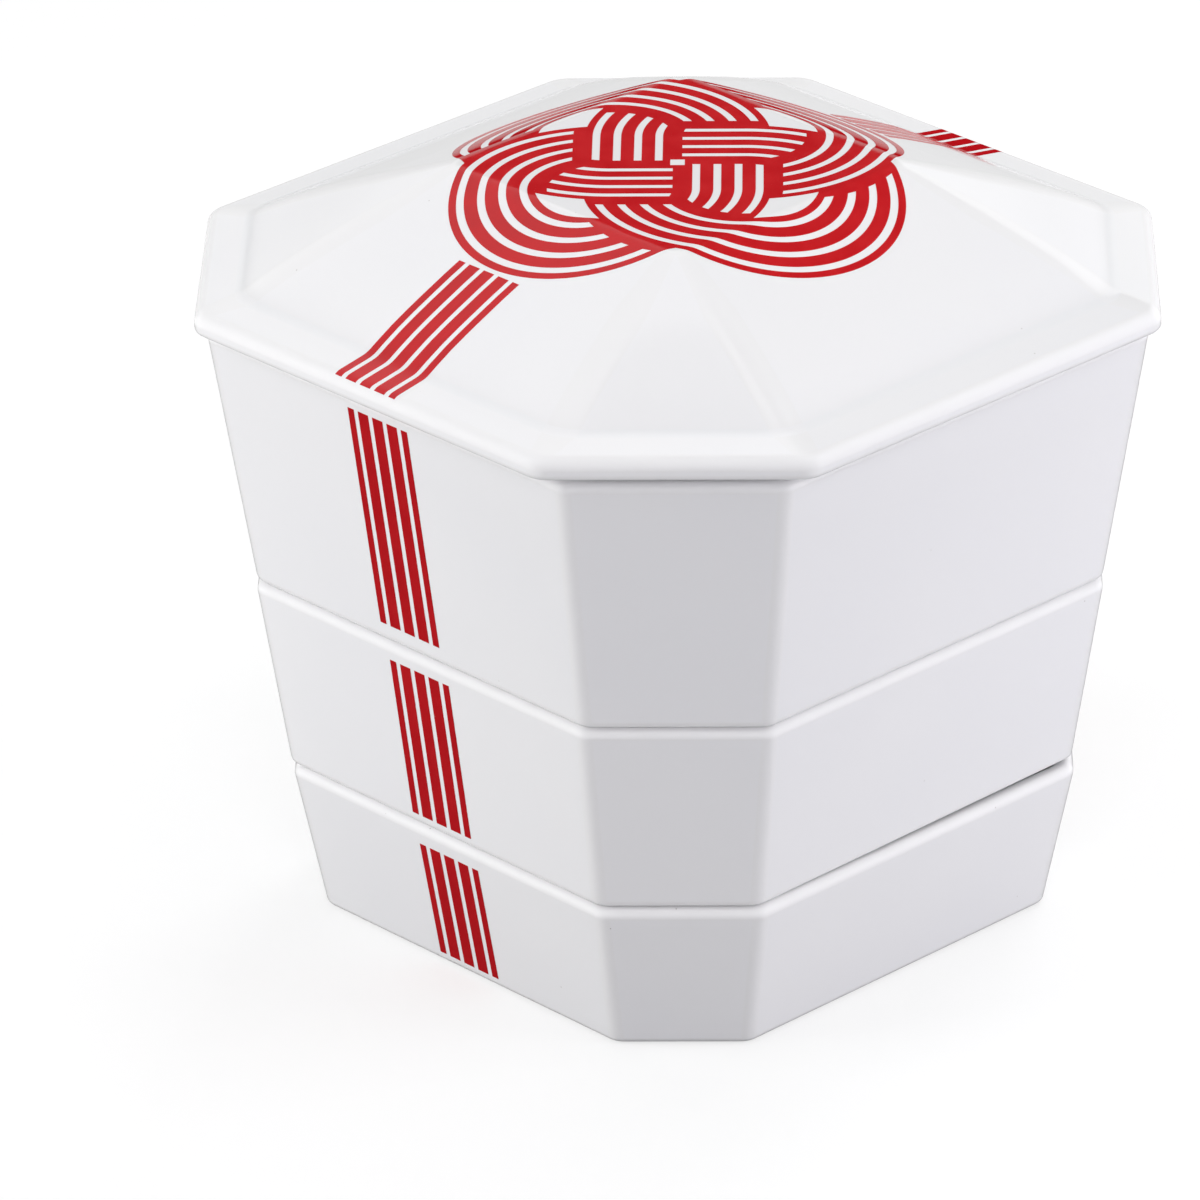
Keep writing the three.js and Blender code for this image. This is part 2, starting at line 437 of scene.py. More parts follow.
    on_edge = step.math("GREATER_THAN", 0.5) * (steps + 1.5 - step).math("GREATER_THAN", 0.0)
    lie = (noted("bend") + on_edge * noted("outside")).math("MAXIMUM", -1.0).math("MINIMUM", 1.0)
    stored = field(
        tree,
        "GeometryNodeStoreNamedAttribute",
        {"Geometry": swept, "Name": "glaze_lie", "Value": lie},
        data_type="FLOAT",
        domain="POINT",
    )
    closed = field(tree, "GeometryNodeMergeByDistance", {"Geometry": stored, "Distance": WELD})
    smooth = field(tree, "GeometryNodeSetShadeSmooth", {"Geometry": closed, "Shade Smooth": True})
    solid = field(tree, "GeometryNodeRealizeInstances", {"Geometry": smooth})
    glazed = field(tree, "GeometryNodeSetMaterial", {"Geometry": solid, "Material": given["Glaze"]})
    is_bare = now_z.math("LESS_THAN", given["Bare Below"])
    bared = field(
        tree,
        "GeometryNodeSetMaterial",
        {"Geometry": glazed, "Selection": is_bare, "Material": given["Bare"]},
    )
    finish_tree(tree, bared)
    return tree


def make_porcelain(name, corners, seat, leg_rule, outside, **more):
    """One fired piece. Its section starts and ends on the axis, with the clay on its right."""
    rows = round_profile(corners)
    points = [(x, 0, z + seat) for x, z, _ in rows]
    edges = [(index, index + 1) for index in range(len(rows) - 1)]
    piece = new_piece(name, points, edges)
    bend = piece.data.attributes.new("bend", "FLOAT", "POINT")
    side = piece.data.attributes.new("outside", "FLOAT", "POINT")
    for index, (x, z, value) in enumerate(rows):
        bend.data[index].value = value
        side.data[index].value = 1 if outside(x, z) else -1
    lowest = min(z for _, z, _ in rows) + seat
    values = {
        "Leg At Axis": leg_rule[0] * MM,
        "Leg Per Width": leg_rule[1],
        "Edge Radius": EDGE_RADIUS * MM,
        "Lip Edge Radius": EDGE_RADIUS * MM,
        "Lip Half": 1.0,
        "Edge Growth": 0.0,
        "Edge Steps": EDGE_STEPS,
        "Support": SUPPORT * MM,
        "Smallest Outline": SMALLEST_OUTLINE * MM,
        "Bare Below": (lowest + 0.1) * MM,
        "Lift": 0.0,
        "Lift Place": 0.0,
        "Lift Reach": 1.0,
        "Lift From": 0.0,
        "Lift To": 1.0,
        "Aside": (0, 0, 0),
        "Glaze": white_glaze,
        "Bare": bare_porcelain,
        **more,
    }
    return grow(piece, sweep_tree, values)


def tray_size(rim_half, height, draft, rise=RIM_RISE):
    """Widths of one tray, from its rim, its height and the lean of its walls."""
    slope = tan_of(draft)
    return {
        "rim": rim_half,
        "rim_level": height + rise,
        "height": height,
        "slope": slope,
        "base": rim_half - height * slope,
        "inside": rim_half - WALL,
    }


def tray_corners(tray, floor_level, lower_radius):
    """Half section from the middle of a tray's floor over its rim to its lower outer edge."""
    height = tray["height"]
    return [
        (0, floor_level, 0),
        (tray["inside"] - (height - floor_level) * tray["slope"], floor_level, FLOOR_RADIUS),
        (tray["inside"], tray["rim_level"], RIM_INNER_RADIUS),
        (tray["rim"], tray["rim_level"], RIM_OUTER_RADIUS),
        (tray["base"], 0, lower_radius),
    ]


def spigot_corners(below, inside_level):
    """Half section of the rib that drops into the mouth of the tray below."""
    outside = below["inside"] - SPIGOT_CLEARANCE
    inside = outside - SPIGOT_WIDTH
    return [
        (outside, 0, SPIGOT_RADIUS),
        (outside - SPIGOT_DEPTH * below["slope"], -SPIGOT_DEPTH, SPIGOT_RADIUS),
        (inside, -SPIGOT_DEPTH, SPIGOT_RADIUS),
        (inside, inside_level, SPIGOT_RADIUS),
    ]


def tray_outside(tray):
    """Tells a tray's outer surface from its inner one."""

    def outside(x, z):
        wall_middle = tray["inside"] + WALL / 2 - (tray["height"] - z) * tray["slope"]
        return x > wall_middle or z < FLOOR / 2

    return outside


def warp(lift, start, end):
    """A slow lift on one side, full at the end level and none at the start level."""
    return {
        "Lift": lift * MM,
        "Lift Place": WARP_PLACE * MM,
        "Lift Reach": WARP_REACH * MM,
        "Lift From": start * MM,
        "Lift To": end * MM,
    }


def make_bottom_tier():
    foot_inside = bottom_tray["base"] - FOOT_EDGE_RADIUS - FOOT_WIDTH
    corners = [
        *tray_corners(bottom_tray, FOOT_RECESS + FLOOR, FOOT_EDGE_RADIUS),
        (foot_inside, 0, FOOT_RADIUS),
        (foot_inside - FOOT_RECESS, FOOT_RECESS, FOOT_RADIUS),
        (0, FOOT_RECESS, 0),
    ]
    sunk_rim = warp(-RIM_SINK, 0.5 * BOTTOM_HEIGHT, BOTTOM_HEIGHT)
    aside = (BOTTOM_ASIDE * MM, 0, 0)
    outside = tray_outside(bottom_tray)
    return make_porcelain("bottom_tray", corners, 0, tray_leg, outside, Aside=aside, **sunk_rim)


def make_stacked_tier(name, tray, below, seat, **more):
    corners = [
        *tray_corners(tray, FLOOR, BASE_EDGE_RADIUS),
        *spigot_corners(below, 0),
        (0, 0, 0),
    ]
    return make_porcelain(name, corners, seat, tray_leg, tray_outside(tray), **more)


def make_lid():
    """The roof bulges up from the brim, alike on all sides, and its corner facets run out at a square top."""
    lip_half = top_tray["rim"] + LID_OVERHANG
    crease_half = lip_half - BRIM_WIDTH
    foot_half = crease_half - ROOF_FOOT_WIDTH
    middle_half = foot_half - ROOF_MIDDLE_WIDTH
    top_half = MOUTH_HALF - (CORNER_LEG - TOP_CORNER_LEG) / LEG_PER_OFFSET
    crease_level = LIP_HEIGHT + BRIM_WIDTH * tan_of(BRIM_PITCH)
    foot_level = crease_level + ROOF_FOOT_WIDTH * tan_of(ROOF_FOOT_PITCH)
    middle_level = foot_level + ROOF_MIDDLE_WIDTH * tan_of(ROOF_MIDDLE_PITCH)
    top_level = middle_level + (middle_half - top_half) * tan_of(ROOF_TOP_PITCH)
    ceiling_half = top_half - LID_THICKNESS * tan_of(CEILING_PITCH / 2)
    ceiling_level = top_level - LID_THICKNESS
    rib_inside = top_tray["inside"] - SPIGOT_CLEARANCE - SPIGOT_WIDTH
    eaves_level = ceiling_level - (rib_inside - ceiling_half) * tan_of(CEILING_PITCH)
    corners = [
        (0, top_level - FILM, 0),
        (top_half, top_level - FILM, TOP_EDGE_RADIUS),
        (middle_half, middle_level, ROOF_TOP_BEND),
        (foot_half, foot_level, ROOF_FOOT_BEND),
        (crease_half, crease_level, CREASE_RADIUS),
        (lip_half, LIP_HEIGHT, LIP_UPPER_RADIUS),
        (lip_half, 0, LIP_LOWER_RADIUS),
        *spigot_corners(top_tray, eaves_level),
        (ceiling_half, ceiling_level, CEILING_RADIUS),
        (0, ceiling_level, 0),
    ]
    ease = LIP_CORNER_EASE / (lip_half - top_half)
    leg_rule = (tray_leg[0] - ease * top_half, tray_leg[1] + ease)

    def outside(x, z):
        ceiling = ceiling_level - max(0, x - ceiling_half) * tan_of(CEILING_PITCH)
        return z > ceiling + LID_THICKNESS / 2 or x > crease_half

    rounding = {
        "Edge Radius": LID_EDGE_RADIUS * MM,
        "Lip Edge Radius": LIP_EDGE_RADIUS * MM,
        "Lip Half": lip_half * MM,
        "Edge Growth": EDGE_GROWTH,
    }
    return make_porcelain("roofed_lid", corners, lid_seat, leg_rule, outside, **rounding)


# Red cords: flat patterns that are laid on the porcelain as a thin fired film


def film_tree():
    """Lays a flat pattern on a surface along one direction, thickens it and repeats it in a ring."""
    tree, given = geometry_tree(
        "enamel_film",
        [
            ("Surface", "Object"),
            ("Towards", "Vector"),
            ("Film", "Float"),
            ("Sink", "Float"),
            ("Copies", "Int"),
            ("Enamel", "Material"),
        ],
    )
    towards = given["Towards"]
    surface = field(
        tree,
        "GeometryNodeObjectInfo",
        {"Object": given["Surface"]},
        "Geometry",
        transform_space="ORIGINAL",
    )
    hit = field(
        tree,
        "GeometryNodeRaycast",
        {"Target Geometry": surface, "Ray Direction": towards, "Ray Length": 1.0},
        "Hit Position",
    )

    def along(amount):
        return field(tree, "ShaderNodeVectorMath", {0: towards, "Scale": amount}, operation="SCALE")

    laid = field(tree, "GeometryNodeSetPosition", {"Geometry": given["Geometry"], "Position": hit})
    low = field(tree, "GeometryNodeSetPosition", {"Geometry": laid, "Offset": along(given["Sink"])})
    extrude = add_node(
        tree,
        "GeometryNodeExtrudeMesh",
        {"Mesh": low, "Offset": along((given["Sink"] + given["Film"]) * -1.0), "Offset Scale": 1.0},
    )
    plug(tree, extrude.inputs["Individual"], False)
    top = extrude.outputs["Top"]
    side = extrude.outputs["Side"]
    brim = field(tree, "FunctionNodeBooleanMath", {0: top, 1: side}, operation="AND")
    crisp = field(
        tree,
        "GeometryNodeSetShadeSmooth",
        {"Geometry": extrude.outputs["Mesh"], "Selection": brim, "Shade Smooth": False},
        domain="EDGE",
    )
    under = field(tree, "GeometryNodeFlipFaces", {"Mesh": low})
    both = add_node(tree, "GeometryNodeJoinGeometry")
    plug(tree, both.inputs[0], crisp)
    plug(tree, both.inputs[0], under)
    closed = field(tree, "GeometryNodeMergeByDistance", {"Geometry": both.outputs[0], "Distance": WELD})
    spots = field(tree, "GeometryNodePoints", {"Count": given["Copies"]})
    turn = field(tree, "GeometryNodeInputIndex") / given["Copies"] * (2 * math.pi)
    euler = field(tree, "ShaderNodeCombineXYZ", {2: turn})
    rotation = field(tree, "FunctionNodeEulerToRotation", {0: euler})
    ring = field(
        tree, "GeometryNodeInstanceOnPoints", {"Points": spots, "Instance": closed, "Rotation": rotation}
    )
    solid = field(tree, "GeometryNodeRealizeInstances", {"Geometry": ring})
    red = field(tree, "GeometryNodeSetMaterial", {"Geometry": solid, "Material": given["Enamel"]})
    finish_tree(tree, red)
    return tree


def lay_film(name, points, faces, surface, towards, copies):
    piece = new_piece(name, points, (), faces)
    piece.data.shade_smooth()
    values = {
        "Surface": surface,
        "Towards": towards,
        "Film": FILM * MM,
        "Sink": SINK * MM,
        "Copies": copies,
        "Enamel": red_enamel,
    }
    return grow(piece, laying_tree, values)


def cord_lanes(width, outer, gap):
    """Lines across five cords: offsets, and for each cell between them whether a cord or a gap fills it."""
    inner = (width - 2 * outer - 4 * gap) / 3
    offsets = [-width / 2]
    is_cord = []
    for lane, lane_width in enumerate([outer, gap, inner, gap, inner, gap, inner, gap, outer]):
        cells = max(1, round(lane_width / CELL))
        for _ in range(cells):
            offsets.append(offsets[-1] + lane_width / cells)
            is_cord.append(lane % 2 == 0)
    return offsets, is_cord


def strand_point(along, across):
    """Point of the strand round the lobe on +X; along is 0 at the lobe's tip, across is outward."""
    turn = along / lobe_radius
    angle = max(-LOOP_TURN, min(LOOP_TURN, turn))
    beyond = (turn - angle) * lobe_radius
    x = LOBE_CENTRE + (lobe_radius + across) * math.cos(angle) - beyond * math.sin(angle)
    y = (lobe_radius + across) * math.sin(angle) + beyond * math.cos(angle)
    return x, y


def strand_distance(x, y, quarters):
    """Distance from a point to the middle of the strand round the lobe that lies some quarter turns on."""
    for _ in range(quarters):
        x, y = y, -x
    angle = math.atan2(y, x - LOBE_CENTRE)
    if abs(angle) <= LOOP_TURN:
        return abs(math.hypot(x - LOBE_CENTRE, y) - lobe_radius)
    return abs((abs(y) - x) / math.sqrt(2) - INNER_PASS)


def meet(across, clearance, quarters, clear, covered):
    """Where along its way a line of the strand comes within the clearance of another strand's middle."""
    for _ in range(HALVINGS):
        middle = (clear + covered) / 2
        if strand_distance(*strand_point(middle, across), quarters) > clearance:
            clear = middle
        else:
            covered = middle
    return clear


def strand_piece(first, last):
    """The stretch of the strand that shows between two strands that cross over it.

    Each end is (quarter turns to the strand on top, a place in the clear, a place under that strand). The
    white lines stop short of the strands on top, so the cords join there.
    """
    offsets, is_cord = cord_lanes(CORD_WIDTH, OUTER_CORD, CORD_GAP)
    edge = CORD_WIDTH / 2
    lines = []
    for across in offsets:
        begin = meet(across, edge, *first)
        begin_lines = meet(across, edge + LINE_SETBACK, *first)
        end_lines = meet(across, edge + LINE_SETBACK, *last)
        end = meet(across, edge, *last)
        lines.append((begin, begin_lines, end_lines, end))
    lengths = [max(abs(line[part + 1] - line[part]) for line in lines) for part in range(3)]
    counts = [math.ceil(length / CELL) for length in lengths]
    points = []
    for across, line in zip(offsets, lines):
        for part, count in enumerate(counts):
            for step in range(count):
                along = line[part] + (line[part + 1] - line[part]) * step / count
                points.append((*strand_point(along, across), SIGHT))
        points.append((*strand_point(line[3], across), SIGHT))
    rows = sum(counts)
    faces = []
    for column, cord in enumerate(is_cord):
        for row in range(rows):
            in_lines = counts[0] <= row < counts[0] + counts[1]
            if cord or not in_lines:
                corner = column * (rows + 1) + row
                faces.append((corner, corner + rows + 1, corner + rows + 2, corner + 1))
    return points, faces


def used_only(points, faces):
    """Drops the points that no face uses."""
    order = sorted({corner for face in faces for corner in face})
    place = {corner: index for index, corner in enumerate(order)}
    return [points[corner] for corner in order], [[place[corner] for corner in face] for face in faces]


def make_knot():
    """Four lobes from one endless strand, over and under in turn."""
    arc_end = LOOP_TURN * lobe_radius
    straight = LOBE_CENTRE / math.sqrt(2)
    diagonal = diagonal_crossing()
    inner_crossing = arc_end + straight - INNER_PASS
    outer_crossing = lobe_radius * math.atan2(diagonal, diagonal - LOBE_CENTRE)
    next_crossing = arc_end + straight + INNER_PASS
    before_tip = -0.65 * arc_end
    past_tip = 0.15 * arc_end
    past_arc = arc_end + 3
    loop = strand_piece((2, before_tip, -inner_crossing), (1, past_tip, outer_crossing))
    middle = strand_piece((1, arc_end, outer_crossing), (1, past_arc, next_crossing))
    points = [*loop[0], *middle[0]]
    shift = len(loop[0])
    faces = [*loop[1], *([corner + shift for corner in face] for face in middle[1])]
    points, faces = used_only(points, faces)
    faces.append(range(len(points), len(points) + 3))
    points.extend(knot_web())
    return lay_film("knot_enamel", points, faces, lid, (0, 0, -1), 4)


def knot_web():
    """The little three-cornered web that fills in where two loops and the strand inside them meet."""
    inside = lobe_radius - CORD_WIDTH / 2
    tip = (LOBE_CENTRE + math.sqrt(2 * inside**2 - LOBE_CENTRE**2)) / 2
    reach = math.sqrt(2) * (INNER_PASS + CORD_WIDTH / 2)
    spread = math.sqrt(2 * inside**2 - (reach - LOBE_CENTRE) ** 2)
    near = (reach + LOBE_CENTRE - spread) / 2
    return [(tip, tip, SIGHT), (near, reach - near, SIGHT), (reach - near, near, SIGHT)]


def diagonal_crossing():
    """Where the loops of two neighbouring lobes cross on the diagonal."""
    return (LOBE_CENTRE + math.sqrt(2 * lobe_radius**2 - LOBE_CENTRE**2)) / 2


def band_pattern(lanes, start, stop, place):
    """Five straight cords side by side, from start to stop along their way."""
    offsets, is_cord = cord_lanes(**lanes)
    rows = math.ceil(abs(stop - start) / CELL)
    points = []
    for across in offsets:
        for row in range(rows + 1):
            points.append(place(across, start + (stop - start) * row / rows))
    faces = []
    for column, cord in enumerate(is_cord):
        if not cord:
            continue
        for row in range(rows):
            corner = column * (rows + 1) + row
            faces.append((corner, corner + rows + 1, corner + rows + 2, corner + 1))
    return used_only(points, faces)


def make_lid_band():
    """From the knot's lobe down the slope to the lip."""

    def place(across, along):
        return across, along, SIGHT

    points, faces = band_pattern(LID_BAND, LID_BAND_START, LID_BAND_STOP, place)
    return lay_film("lid_band_enamel", points, faces, lid, (0, 0, -1), 2)


def make_tier_band(name, surface, seat, height, aside, above_base, below_rim):
    """Down the two banded sides of a tier."""

    def place(across, along):
        return across + aside, -SIGHT, along

    points, faces = band_pattern(TIER_BAND, seat + above_base, seat + height - below_rim, place)
    return lay_film(name, points, faces, surface, (0, 1, 0), 2)


# Materials


def new_material(name):
    material = bpy.data.materials.new(name)
    material.use_nodes = True
    tree = material.node_tree
    tree.nodes.clear()
    shader = tree.nodes.new("ShaderNodeBsdfPrincipled")
    output = tree.nodes.new("ShaderNodeOutputMaterial")
    plug(tree, output.inputs["Surface"], shader.outputs[0])
    where = field(tree, "ShaderNodeTexCoord", output="Object")
    return material, tree, shader, where


def noise(tree, where, scale, detail=2.0, roughness=0.5):
    """Smooth noise from about 0 to 1; scale is in bumps per metre."""
    inputs = {"Vector": where, "Scale": scale, "Detail": detail, "Roughness": roughness}
    return field(tree, "ShaderNodeTexNoise", inputs)


def ramp(tree, value, low, high):
    """Takes a value from low to high to the range 0 to 1, with soft ends."""
    inputs = {"Value": value, "From Min": low, "From Max": high}
    return field(tree, "ShaderNodeMapRange", inputs, interpolation_type="SMOOTHSTEP")


def mix_colour(tree, share, first, second):
    node = add_node(tree, "ShaderNodeMix", {"Factor": share}, data_type="RGBA")
    for socket, value in ((node.inputs[6], first), (node.inputs[7], second)):
        plug(tree, socket, (*value, 1) if isinstance(value, tuple) else value)
    return Field(tree, node.outputs[2])


def relief(tree, height, depth, under=None):
    """Bump of a depth in millimetres."""
    inputs = {"Height": height, "Distance": depth * MM, "Strength": 1.0}
    if under is not None:
        inputs["Normal"] = under
    return field(tree, "ShaderNodeBump", inputs)


def make_white_glaze():
    """Clear gloss over white clay: slow waves, thin at the edges, bluish where it pools, a few pinholes."""
    material, tree, shader, where = new_material("white_glaze")
    cloud = ramp(tree, noise(tree, where, 14.0), 0.3, 0.7)
    body = mix_colour(tree, cloud, (0.835, 0.836, 0.85), (0.85, 0.849, 0.857))
    lie = field(tree, "ShaderNodeAttribute", output="Fac", attribute_name="glaze_lie")
    thin = mix_colour(tree, lie.math("MAXIMUM", 0.0) * 0.5, body, (0.828, 0.824, 0.822))
    pooled = mix_colour(tree, (lie * -0.2).math("MAXIMUM", 0.0), thin, (0.80, 0.825, 0.845))
    cells = field(
        tree, "ShaderNodeTexVoronoi", {"Vector": where, "Scale": 90.0}, "Distance", feature="F1"
    )
    speck = 1 - ramp(tree, cells, 0.008, 0.019)
    coloured = mix_colour(tree, speck * 0.75, pooled, (0.30, 0.27, 0.25))
    plug(tree, shader.inputs["Base Color"], coloured)
    smear = noise(tree, where, 38.0, 4.0)
    plug(tree, shader.inputs["Roughness"], 0.07 + smear * 0.07 + speck * 0.3)
    slow = relief(tree, noise(tree, where, 45.0, 1.0), 0.035)
    fine = relief(tree, noise(tree, where, 700.0, 2.0), 0.0012, slow)
    pits = relief(tree, speck * -1.0, 0.03, fine)
    plug(tree, shader.inputs["Normal"], pits)
    shader.inputs["IOR"].default_value = 1.5
    return material


def make_bare_porcelain():
    """Ground, unglazed rings: warm white, matt and fine-grained."""
    material, tree, shader, where = new_material("bare_porcelain")
    cloud = ramp(tree, noise(tree, where, 60.0, 4.0), 0.3, 0.7)
    body = mix_colour(tree, cloud, (0.76, 0.74, 0.70), (0.81, 0.795, 0.765))
    grain = noise(tree, where, 2600.0, 3.0)
    dots = ramp(tree, grain, 0.62, 0.72)
    plug(tree, shader.inputs["Base Color"], mix_colour(tree, dots * 0.35, body, (0.55, 0.52, 0.48)))
    plug(tree, shader.inputs["Roughness"], 0.68 + cloud * 0.15)
    plug(tree, shader.inputs["Normal"], relief(tree, grain, 0.02))
    return material


def make_red_enamel():
    """Iron red fired on the glaze: a little uneven in tone, softer in gloss, denser on the tiers.

    On the far brim of the lid and at the top of its far slopes it takes the tiers' darker red as painted
    shade, and does not shine.
    """
    material, tree, shader, where = new_material("red_enamel")
    cloud = ramp(tree, noise(tree, where, 120.0, 3.0), 0.3, 0.7)
    lid_red = mix_colour(tree, cloud, (0.50, 0.0055, 0.0095), (0.545, 0.0075, 0.0115))
    # The tiers' red is also the painted shade on the lid's far sides
    tier_and_shade_red = mix_colour(tree, cloud, (0.405, 0.005, 0.009), (0.445, 0.0065, 0.0105))
    split = add_node(tree, "ShaderNodeSeparateXYZ", {0: where})
    x, y, height = (Field(tree, socket) for socket in split.outputs)
    on_lid = height.math("GREATER_THAN", lid_seat * MM)
    far = (x * -1.0).math("MAXIMUM", y) / MM
    # Far brim and far slope tops: the darker red here is painted shade, and the shine is turned off there
    shaded_slope_top = ramp(tree, far, *SHADE_AND_DULL_SLOPE_BEGINS) * (1 - ramp(tree, far, *SHADE_AND_DULL_SLOPE_ENDS))
    painted_shade_and_dull = (shaded_slope_top + ramp(tree, far, *SHADE_AND_DULL_BRIM_BEGINS)) * on_lid
    body = mix_colour(tree, on_lid - painted_shade_and_dull, tier_and_shade_red, lid_red)
    grain = noise(tree, where, 3500.0, 2.0)
    dots = ramp(tree, grain, 0.6, 0.8)
    plug(tree, shader.inputs["Base Color"], mix_colour(tree, dots * 0.3, body, (0.60, 0.02, 0.02)))
    plug(tree, shader.inputs["Roughness"], 0.16 + cloud * 0.06)
    plug(tree, shader.inputs["Normal"], relief(tree, grain, 0.0008))
    plug(tree, shader.inputs["Specular IOR Level"], 0.3 - painted_shade_and_dull * 0.3)
    return material


# Studio


def make_camera():
    """The photograph's viewpoint: turned, raised, slightly rolled, aimed near the box's middle."""
    turn = math.radians(46.213)
    rise = math.radians(25.81)
    roll = math.radians(-0.68)
    aim = Vector((0.009426, -0.034198, 0.084))
    distance = 2.03685
    back = Vector((math.sin(turn) * math.cos(rise), -math.cos(turn) * math.cos(rise), math.sin(rise)))
    level = Vector((math.cos(turn), math.sin(turn), 0))
    upright = level.cross(-back)
    right = math.cos(roll) * level + math.sin(roll) * upright
    up = math.cos(roll) * upright - math.sin(roll) * level
    data = bpy.data.cameras.new("camera")
    data.sensor_width = 36
    data.lens = 276.47
    data.clip_start = 0.05
    data.clip_end = 50
    camera = bpy.data.objects.new("camera", data)
    turned = Matrix((right, up, back)).transposed().to_4x4()
    camera.matrix_world = Matrix.Translation(aim + back * distance) @ turned
    bpy.context.scene.collection.objects.link(camera)
    bpy.context.scene.camera = camera


def add_softbox(name, direction, distance, width, height, power, colour):
    """A lamp that faces the middle of the box. It does not show in the glaze."""
    data = bpy.data.lights.new(name, "AREA")
    data.shape = "RECTANGLE"
    data.size = width
    data.size_y = height
    data.energy = power
    data.color = colour
    lamp = bpy.data.objects.new(name, data)
    way = Vector(direction).normalized()
    lamp.location = BOX_MIDDLE + way * distance
    lamp.rotation_mode = "QUATERNION"
    lamp.rotation_quaternion = way.to_track_quat("Z", "Y")
    lamp.visible_glossy = False
    bpy.context.scene.collection.objects.link(lamp)


def seen_directly(tree):
    """1 for what the camera sees, straight or by reflection, and 0 for light that falls on things."""
    path = add_node(tree, "ShaderNodeLightPath")
    camera = Field(tree, path.outputs["Is Camera Ray"])
    glossy = Field(tree, path.outputs["Is Glossy Ray"])
    through = Field(tree, path.outputs["Is Transmission Ray"])
    return camera.math("MAXIMUM", glossy).math("MAXIMUM", through)


def make_world():
    world = bpy.data.worlds.new("studio")
    bpy.context.scene.world = world
    world.use_nodes = True
    tree = world.node_tree
    tree.nodes.clear()
    colour = mix_colour(tree, seen_directly(tree), WORLD_LIGHT, (1.0, 1.0, 1.0))
    background = add_node(tree, "ShaderNodeBackground", {"Color": colour, "Strength": 1.0})
    output = tree.nodes.new("ShaderNodeOutputWorld")
    plug(tree, output.inputs["Surface"], background.outputs[0])


def make_floor():
    """A pale floor that keeps the shadow near the box and fades to plain white further out."""
    bpy.ops.mesh.primitive_circle_add(vertices=96, radius=12, fill_type="NGON", location=(0, 0, -0.0001))
    floor = bpy.context.object
    floor.name = "floor"
    material = bpy.data.materials.new("floor_paint")
    material.use_nodes = True
    tree = material.node_tree
    tree.nodes.clear()
    matt = add_node(tree, "ShaderNodeBsdfDiffuse", {"Color": (0.35, 0.35, 0.35, 1)})
    glow = seen_directly(tree) * 0.65
    lift = add_node(tree, "ShaderNodeEmission", {"Color": (1, 1, 1, 1), "Strength": glow})
    lifted = add_node(tree, "ShaderNodeAddShader", {0: matt.outputs[0], 1: lift.outputs[0]})
    where = field(tree, "ShaderNodeTexCoord", output="Object")
    away = field(tree, "ShaderNodeVectorMath", {0: where}, "Value", operation="LENGTH")
    path = add_node(tree, "ShaderNodeLightPath")
    glossy = Field(tree, path.outputs["Is Glossy Ray"])
    far = (ramp(tree, away, 0.25, 0.8) * seen_directly(tree)).math("MAXIMUM", glossy)
    white = add_node(tree, "ShaderNodeEmission", {"Color": (1, 1, 1, 1), "Strength": 1.0})
    mixed = add_node(tree, "ShaderNodeMixShader", {0: far, 1: lifted.outputs[0], 2: white.outputs[0]})
    output = tree.nodes.new("ShaderNodeOutputMaterial")
    plug(tree, output.inputs["Surface"], mixed.outputs[0])
    floor.data.materials.append(material)


def mirrored(normal):
    """Direction that the camera sees mirrored in a flat face."""
    camera = bpy.context.scene.camera.matrix_world
    to_camera = (camera.translation - LID_MIDDLE).normalized()
    return 2 * to_camera.dot(normal) * normal - to_camera


def add_card(name, corners, level):
    """A studio card that only reflections see, of an even grey."""
    mesh = bpy.data.meshes.new(name)
    mesh.from_pydata(corners, (), [(0, 1, 2, 3)])
    card = bpy.data.objects.new(name, mesh)
    bpy.context.scene.collection.objects.link(card)
    material = bpy.data.materials.new(name)
    material.use_nodes = True
    shader = material.node_tree.nodes["Principled BSDF"]
    shader.inputs["Base Color"].default_value = (0.0, 0.0, 0.0, 1)
    shader.inputs["Specular IOR Level"].default_value = 0.0
    shader.inputs["Emission Color"].default_value = (level, level, level, 1)
    shader.inputs["Emission Strength"].default_value = 1.0
    mesh.materials.append(material)
    card.visible_camera = False
    card.visible_diffuse = False
    card.visible_shadow = False


def make_mirrored_card(name, lean, pitches, distance, margin, level):
    """Fills what the camera sees mirrored in faces of the lid that lean one way, between two pitches."""
    way = Vector((math.cos(math.radians(lean)), math.sin(math.radians(lean)), 0))
    directions = []
    for pitch in pitches:
        tilt = math.radians(pitch)
        directions.append(mirrored(way * math.sin(tilt) + Vector((0, 0, math.cos(tilt)))))
    first, last = directions
    along = last - first
    across = along.cross(first + last).normalized() * margin
    ends = along.normalized() * margin
    low = LID_MIDDLE + first * distance - ends
    high = LID_MIDDLE + last * distance + ends
    add_card(name, [low - across, high - across, high + across, low + across], level)


def make_mat(half, level):
    """A mat round the box's foot that the leaning walls mirror, so that the red stays deep on them."""
    corners = [(-half, -half), (half, -half), (half, half), (-half, half)]
    add_card("mat", [(*corner, 0.0001) for corner in corners], level)


def make_back_card(distance, half_width, height, level):
    """Standing behind the box: it draws the far slopes of the lid against the white background."""
    camera = bpy.context.scene.camera.matrix_world
    away = (-camera.translation).to_2d().normalized()
    middle = away.to_3d() * distance
    side = Vector((-away.y, away.x, 0)) * half_width
    rise = Vector((0, 0, height))
    add_card("back_card", [middle - side, middle + side, middle + side + rise, middle - side + rise], level)


# The box

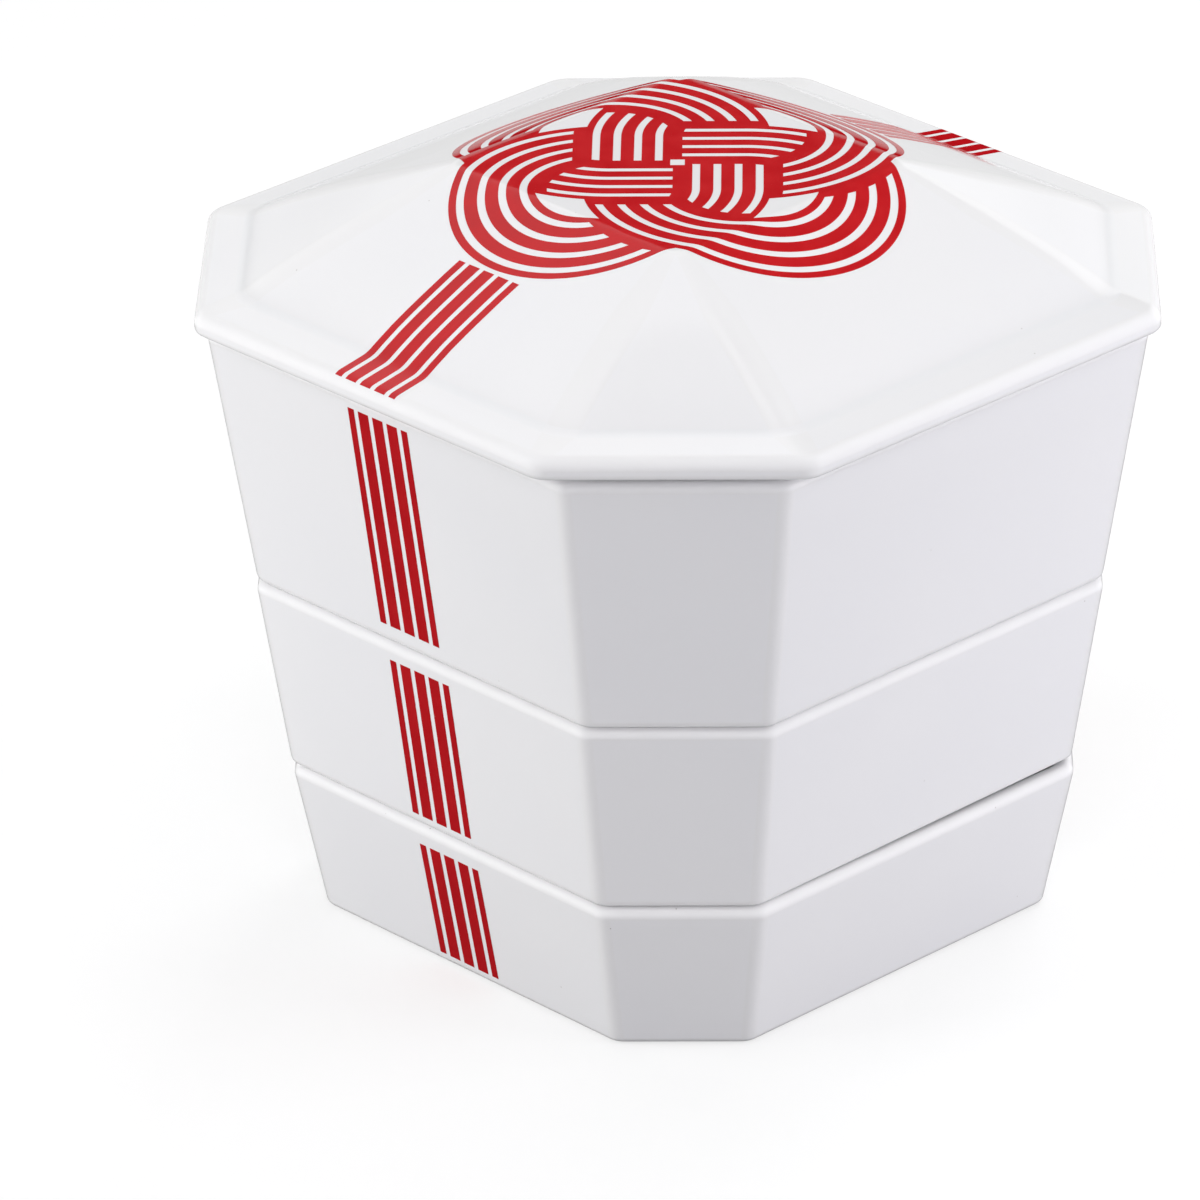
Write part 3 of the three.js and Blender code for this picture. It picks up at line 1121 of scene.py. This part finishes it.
tray_leg = (CORNER_LEG - LEG_PER_OFFSET * MOUTH_HALF, LEG_PER_OFFSET)
top_tray = tray_size(MOUTH_HALF, TOP_HEIGHT, UPPER_DRAFT, TOP_RIM_RISE)
middle_tray = tray_size(top_tray["base"] + RIM_STEP, MIDDLE_HEIGHT, UPPER_DRAFT)
bottom_tray = tray_size(middle_tray["base"] + RIM_STEP, BOTTOM_HEIGHT, BOTTOM_DRAFT)
middle_seat = BOTTOM_HEIGHT + SEAT_GAP
top_seat = middle_seat + MIDDLE_HEIGHT + SEAT_GAP
lid_seat = top_seat + TOP_HEIGHT + SEAT_GAP
lobe_radius = INNER_PASS + LOBE_CENTRE / math.sqrt(2)

white_glaze = make_white_glaze()
bare_porcelain = make_bare_porcelain()
red_enamel = make_red_enamel()
sweep_tree = porcelain_tree()
laying_tree = film_tree()

bottom = make_bottom_tier()
lifted_edge = warp(EDGE_LIFT, middle_seat + WARP_HEIGHT, middle_seat)
middle = make_stacked_tier("middle_tray", middle_tray, bottom_tray, middle_seat, **lifted_edge)
top = make_stacked_tier("top_tray", top_tray, middle_tray, top_seat)
lid = make_lid()

for piece, node in ((bottom, "bottom_tier"), (middle, "middle_tier"), (top, "top_tier"), (lid, "lid")):
    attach(piece, node)
    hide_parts(node)

cords = [
    (make_knot(), "lid"),
    (make_lid_band(), "lid"),
    (make_tier_band("top_band_enamel", top, top_seat, TOP_HEIGHT, **TOP_BAND), "top_tier"),
    (make_tier_band("middle_band_enamel", middle, middle_seat, MIDDLE_HEIGHT, **MIDDLE_BAND), "middle_tier"),
    (make_tier_band("bottom_band_enamel", bottom, 0, BOTTOM_HEIGHT, **BOTTOM_BAND), "bottom_tier"),
]
for piece, body in cords:
    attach(piece, body)

make_camera()
make_world()
make_floor()
for card in MIRRORED_CARDS:
    make_mirrored_card(*card)
make_mat(half=0.4, level=0.05)
make_back_card(distance=0.5, half_width=0.6, height=0.3, level=0.7)
for lamp in LAMPS:
    add_softbox(*lamp)

bpy.context.scene.view_settings.view_transform = "Standard"
